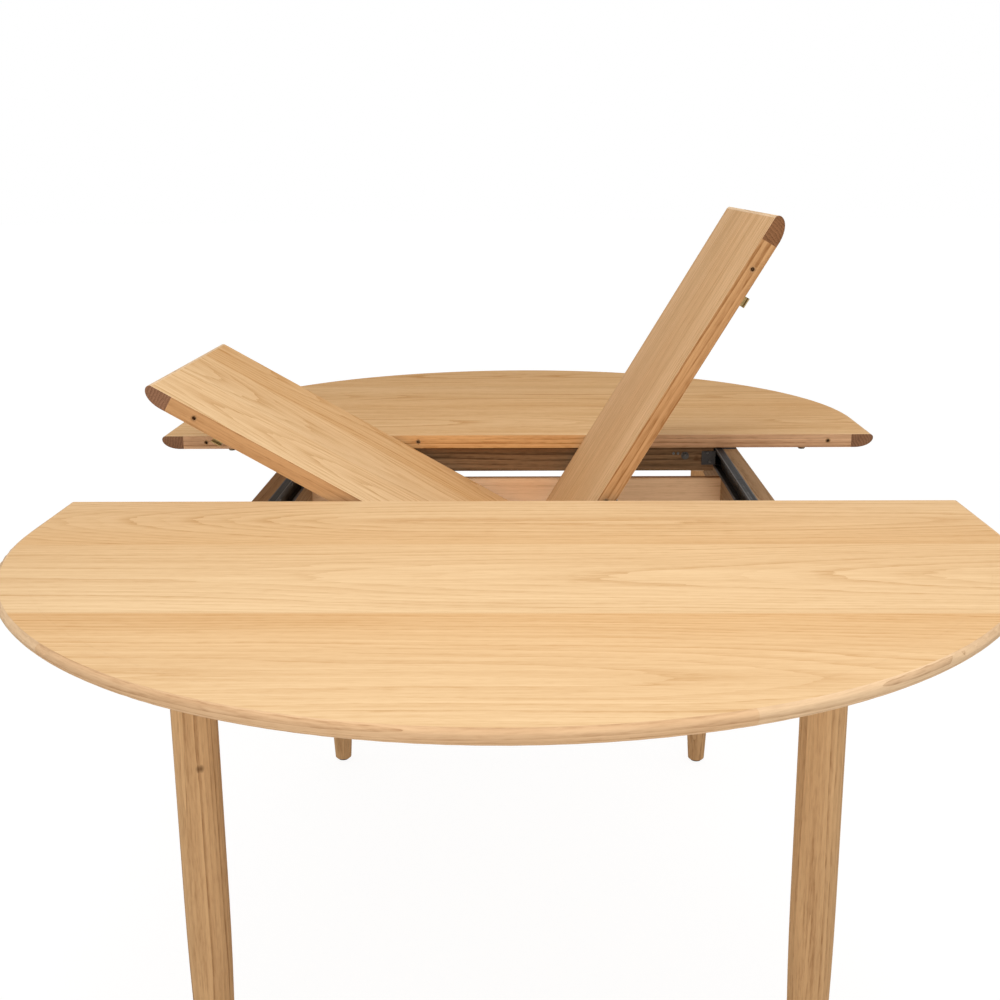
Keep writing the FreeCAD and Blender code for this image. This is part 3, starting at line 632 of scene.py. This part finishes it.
runner_end_x, runner_end_face = 0.3245, 0.4985
runner_end_screws_z = (0.692, 0.7055)
lock_screw = (0.4842, 0.2565, 0.717)
ear_screws_x = (0.116, 0.164)
ear_screw_y, ear_underside = 0.196, 0.715
hinge_places_y = (-0.140, 0.0, 0.140)
hinge_screw_shift = 0.022
flap_face, hinge_screw_z = 0.0002, 0.7290


def fastener_tree(name, inputs, build):
    """A node tree that sets the head made by build on every point, along aim, scaled by size and rise."""
    tree = bpy.data.node_groups.new(name, "GeometryNodeTree")
    tree.interface.new_socket("Geometry", in_out="INPUT", socket_type="NodeSocketGeometry")
    for label in inputs:
        tree.interface.new_socket(label, in_out="INPUT", socket_type="NodeSocketFloat")
    tree.interface.new_socket("Metal", in_out="INPUT", socket_type="NodeSocketMaterial")
    tree.interface.new_socket("Geometry", in_out="OUTPUT", socket_type="NodeSocketGeometry")
    entry = tree.nodes.new("NodeGroupInput")
    leave = tree.nodes.new("NodeGroupOutput")

    def add(kind, settings=None, sockets=None, out=0):
        return Wire(tree).node(kind, settings, sockets, out)

    def given(label):
        return Wire(tree, entry.outputs[label])

    head = build(add, given)
    aim = add("GeometryNodeInputNamedAttribute", {"data_type": "FLOAT_VECTOR"}, {"Name": "aim"})
    size = add("GeometryNodeInputNamedAttribute", {"data_type": "FLOAT"}, {"Name": "size"})
    rise = add("GeometryNodeInputNamedAttribute", {"data_type": "FLOAT"}, {"Name": "rise"})
    # The float limits of Random Value are inputs 2 and 3, and its float is output 1.
    spin = add(
        "FunctionNodeRandomValue", {"data_type": "FLOAT"}, {2: 0.0, 3: math.pi, "Seed": spin_seed}, out=1)
    facing = add("FunctionNodeAlignRotationToVector", {"axis": "Z"}, {"Vector": aim})
    twist = add("FunctionNodeAxisAngleToRotation", None, {"Axis": (0, 0, 1), "Angle": spin})
    turned = add(
        "FunctionNodeRotateRotation", {"rotation_space": "LOCAL"}, {"Rotation": facing, "Rotate By": twist})
    scale = add("ShaderNodeCombineXYZ", None, {0: size, 1: size, 2: rise})
    placed = add("GeometryNodeInstanceOnPoints", None, {
        "Points": given("Geometry"), "Instance": head, "Rotation": turned, "Scale": scale})
    real = add("GeometryNodeRealizeInstances", None, {"Geometry": placed})
    done = add("GeometryNodeSetMaterial", None, {"Geometry": real, "Material": given("Metal")})
    tree.links.new(done.socket, leave.inputs["Geometry"])
    return tree


def screw_head(add, given):
    half = given("Diameter") * 0.5
    head = add("GeometryNodeMeshCone", None, {
        "Vertices": screw_sides, "Radius Bottom": half, "Radius Top": half * screw_top_share,
        "Depth": given("Height")}, out="Mesh")
    long_side, short_side = given("Recess Length"), given("Recess Width")
    raised = add("ShaderNodeCombineXYZ", None, {2: given("Height") * recess_lift})
    for x_side, y_side in ((long_side, short_side), (short_side, long_side)):
        size = add("ShaderNodeCombineXYZ", None, {0: x_side, 1: y_side, 2: given("Height")})
        cut = add("GeometryNodeMeshCube", None, {"Size": size}, out="Mesh")
        cut = add("GeometryNodeTransform", None, {"Geometry": cut, "Translation": raised})
        head = add(
            "GeometryNodeMeshBoolean", {"operation": "DIFFERENCE"}, {"Mesh 1": head, "Mesh 2": cut}, out="Mesh")
    return head


def fasten(name, body, tree, sizes, spots, material):
    """Make one piece of heads, riding on body. Each spot has a place, an aim, a size and a rise."""
    mesh = bpy.data.meshes.new(name + "_places")
    mesh.from_pydata([tuple(place) for place, aim, size, rise in spots], [], [])
    for label, kind, index in (("aim", "FLOAT_VECTOR", 1), ("size", "FLOAT", 2), ("rise", "FLOAT", 3)):
        attribute = mesh.attributes.new(label, kind, "POINT")
        for item, spot in zip(attribute.data, spots):
            if kind == "FLOAT":
                item.value = spot[index]
            else:
                item.vector = spot[index]
    holder = bpy.data.objects.new(name + "_places", mesh)
    bpy.context.scene.collection.objects.link(holder)
    modifier = holder.modifiers.new("fasteners", "NODES")
    modifier.node_group = tree
    for item in tree.interface.items_tree:
        if item.in_out == "INPUT" and item.name in sizes:
            modifier[item.identifier] = sizes[item.name]
        if item.in_out == "INPUT" and item.name == "Metal":
            modifier[item.identifier] = material
    ready = holder.evaluated_get(bpy.context.evaluated_depsgraph_get())
    made = bpy.data.meshes.new_from_object(ready)
    bpy.data.objects.remove(holder)
    piece = bpy.data.objects.new(name, made)
    bpy.context.scene.collection.objects.link(piece)
    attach(piece, body)


screw_sizes = {
    "Diameter": screw_diameter, "Height": screw_height, "Recess Length": recess_length,
    "Recess Width": recess_width}
screw_tree = fastener_tree("screw_heads", screw_sizes, screw_head)
plain = (1.0, 1.0)
small = (small_share, small_share)
flush = (1.0, flush_share)
small_flush = (small_share, flush_share)
frame_spots = []
for sx in (-1, 1):
    for sy in (-1, 1):
        for y in channel_screws_y:
            frame_spots.append(((channel_face * sx, y * sy, channel_screw_z), (-sx, 0, 0), *plain))
        x, y, z = block_screw
        for shift in (-block_screw_shift, block_screw_shift):
            frame_spots.append((((x + shift) * sx, (y - shift) * sy, z), (-sx, -sy, 0), *plain))
for sy in (-1, 1):
    for x in bracket_screws_x:
        frame_spots.append(((x, bracket_face * sy, bracket_screw_z), (0, -sy, 0), *plain))
    for x in ledge_screws_x:
        frame_spots.append(((x, ledge_face * sy, ledge_screw_z), (0, -sy, 0), *plain))
fasten("frame_screws", "frame", screw_tree, screw_sizes, frame_spots, zinc)
for end, sy in (("front", -1), ("back", 1)):
    spots = []
    for x in bearer_screws_x:
        for y, z in bearer_undersides:
            spots.append(((x, y * sy, z), (0, 0, -1), *plain))
    for sx in (-1, 1):
        for x in bearer_pair_x:
            spots.append(((x * sx, bearer_face * sy, bearer_pair_z), (0, -sy, 0), *small))
        for x, z in angle_screws:
            spots.append(((x * sx, angle_face * sy, z), (0, -sy, 0), *small))
        for z in runner_end_screws_z:
            spots.append(((runner_end_x * sx, runner_end_face * sy, z), (0, sy, 0), *small))
        x, y, z = lock_screw
        spots.append(((x * sx, y * sy, z), (0, 0, -1), *flush))
    fasten(end + "_top_screws", end + "_top", screw_tree, screw_sizes, spots, zinc)
for hand, spot in (("right", right_wing), ("left", left_wing)):
    down = spot(0, 0, -1.0) - spot(0, 0, 0)
    inward = spot(-1.0, 0, 0) - spot(0, 0, 0)
    spots = []
    if hand == "right":
        for sy in (-1, 1):
            for x in ear_screws_x:
                spots.append((spot(x, ear_screw_y * sy, ear_underside), down, *plain))
    for y in hinge_places_y:
        for shift in (-hinge_screw_shift, hinge_screw_shift):
            spots.append((spot(flap_face, y + shift, hinge_screw_z), inward, *small_flush))
    fasten(f"leaf_{hand}_screws", f"leaf_{hand}", screw_tree, screw_sizes, spots, zinc)

# Bearer bolts: a hexagon bolt with a wide washer at each end of the inner bearers.
# They draw the bearer up to the runner angle.
bolt_across = 0.0080
bolt_height = 0.0045
washer_diameter = 0.0130
washer_height = 0.0014
# The bolts' steel is painted dark: painted shade for their place in the shade under the top.
bolt_colour_with_painted_shade = (0.11, 0.10, 0.088, 1)
bolt_dull_with_painted_shade = (0.06, 0.054, 0.046, 1)
bolt_foot_share, bolt_top_share = 0.58, 0.52
washer_sides, bolt_sides = 24, 6
bearer_bolt_x, bearer_bolt_z = 0.2876, 0.7024


def bolt_head(add, given):
    across, thick = given("Across"), given("Washer Height")
    washer = add("GeometryNodeMeshCylinder", None, {
        "Vertices": washer_sides, "Radius": given("Washer") * 0.5, "Depth": thick}, out="Mesh")
    washer = add("GeometryNodeTransform", None, {
        "Geometry": washer, "Translation": add("ShaderNodeCombineXYZ", None, {2: thick * 0.5})})
    head = add("GeometryNodeMeshCone", None, {
        "Vertices": bolt_sides, "Radius Bottom": across * bolt_foot_share,
        "Radius Top": across * bolt_top_share, "Depth": given("Height")}, out="Mesh")
    head = add("GeometryNodeTransform", None, {
        "Geometry": head, "Translation": add("ShaderNodeCombineXYZ", None, {2: thick})})
    joined = Wire(head.tree).node("GeometryNodeJoinGeometry", None, {"Geometry": washer})
    head.tree.links.new(head.socket, joined.socket.node.inputs["Geometry"])
    return joined


bolt_steel_with_painted_shade = steel("bolt_with_painted_shade", bolt_colour_with_painted_shade, bolt_dull_with_painted_shade, metal=1.0, rough=0.40, streaks=plate_streaks)
bolt_sizes = {
    "Across": bolt_across, "Height": bolt_height, "Washer": washer_diameter, "Washer Height": washer_height}
bolt_tree = fastener_tree("bolt_heads", bolt_sizes, bolt_head)
for end, sy in (("front", -1), ("back", 1)):
    spots = [
        ((bearer_bolt_x * sx, bearer_face * sy, bearer_bolt_z), (0, -sy, 0), *plain) for sx in (-1, 1)]
    fasten(end + "_bearer_bolts", end + "_top", bolt_tree, bolt_sizes, spots, bolt_steel_with_painted_shade)

# Floor, light and camera: a pale studio floor, soft light from above and in front, and a camera
# that stands before the front half and looks down on the opened table.
camera_place = Vector((0.0321, -1.9457, 1.1717))
camera_pitch = 0.2453
camera_yaw = -0.0269
camera_roll = 0.0085
focal_share = 1.31175
sensor_width = 36.0
floor_reach = 30.0
floor_colour = (0.92, 0.92, 0.91, 1)
floor_roughness = 0.8
floor_white_share = 0.80
floor_glow = 1.12
ambient_strength = 0.59
key_power = 21.0
key_place = Vector((0.2, -0.95, 2.4))
key_aim = Vector((0.0, -0.65, 0.74))
key_size = 1.6
fill_power = 16.0
fill_place = Vector((-0.3, -3.0, 1.2))
fill_aim = Vector((0.0, 0.0, 0.6))
fill_size = 1.6


def camera_matrix():
    level = math.cos(camera_pitch)
    ahead = Vector((math.sin(camera_yaw) * level, math.cos(camera_yaw) * level, -math.sin(camera_pitch)))
    flat_right = Vector((math.cos(camera_yaw), -math.sin(camera_yaw), 0))
    flat_down = ahead.cross(flat_right)
    right = flat_right * math.cos(camera_roll) + flat_down * math.sin(camera_roll)
    down = flat_down * math.cos(camera_roll) - flat_right * math.sin(camera_roll)
    turned = Matrix((right, -down, -ahead)).transposed()
    return Matrix.Translation(camera_place) @ turned.to_4x4()


def seen_rays(tree):
    """1 for camera, glossy and transmission rays, which see the backdrop, and 0 for those that only light."""
    path = tree.nodes.new("ShaderNodeLightPath")
    camera_ray, glossy, clear = (
        Wire(tree, path.outputs[name]) for name in ("Is Camera Ray", "Is Glossy Ray", "Is Transmission Ray"))
    return camera_ray.maths("MAXIMUM", camera_ray.maths("MAXIMUM", camera_ray, glossy), clear)


def soft_lamp(name, power, place, aim, size):
    lamp = bpy.data.objects.new(name, bpy.data.lights.new(name, "AREA"))
    lamp.data.energy = power
    lamp.data.size = size
    lamp.location = place
    lamp.rotation_euler = (aim - place).to_track_quat("-Z", "Y").to_euler()
    bpy.context.scene.collection.objects.link(lamp)


camera = bpy.data.objects.new("camera", bpy.data.cameras.new("camera"))
camera.data.sensor_width = sensor_width
camera.data.lens = focal_share * sensor_width
camera.data.clip_end = floor_reach * 4
camera.matrix_world = camera_matrix()
bpy.context.scene.collection.objects.link(camera)
bpy.context.scene.camera = camera
bpy.context.scene.view_settings.view_transform = "Standard"

world = bpy.data.worlds.new("studio")
bpy.context.scene.world = world
world.use_nodes = True
world.node_tree.nodes.clear()
sky = Wire(world.node_tree)
dim = sky.node("ShaderNodeBackground", None, {"Color": (1, 1, 1, 1), "Strength": ambient_strength})
white = sky.node("ShaderNodeBackground", None, {"Color": (1, 1, 1, 1), "Strength": 1.0})
backdrop = sky.node("ShaderNodeMixShader", None, {0: seen_rays(world.node_tree), 1: dim, 2: white})
world_output = world.node_tree.nodes.new("ShaderNodeOutputWorld")
world.node_tree.links.new(backdrop.socket, world_output.inputs["Surface"])

soft_lamp("key_light", key_power, key_place, key_aim, key_size)
soft_lamp("fill_light", fill_power, fill_place, fill_aim, fill_size)

floor_mesh = bpy.data.meshes.new("floor")
corners = [(-floor_reach, -floor_reach, 0), (floor_reach, -floor_reach, 0), (floor_reach, floor_reach, 0),
           (-floor_reach, floor_reach, 0)]
floor_mesh.from_pydata(corners, [], [(0, 1, 2, 3)])
floor = bpy.data.objects.new("floor", floor_mesh)
bpy.context.scene.collection.objects.link(floor)
floor_paint, floor_tree, floor_shader, floor_spot = new_material("floor_paint")
floor_shader.inputs["Base Color"].default_value = floor_colour
floor_shader.inputs["Roughness"].default_value = floor_roughness
glow = floor_spot.node("ShaderNodeEmission", None, {"Color": (1, 1, 1, 1), "Strength": floor_glow})
lit = Wire(floor_tree, floor_shader.outputs["BSDF"])
floor_look = floor_spot.node("ShaderNodeMixShader", None, {
    0: seen_rays(floor_tree) * floor_white_share, 1: lit, 2: glow})
floor_tree.links.new(floor_look.socket, floor_tree.nodes["Material Output"].inputs["Surface"])
floor_mesh.materials.append(floor_paint)
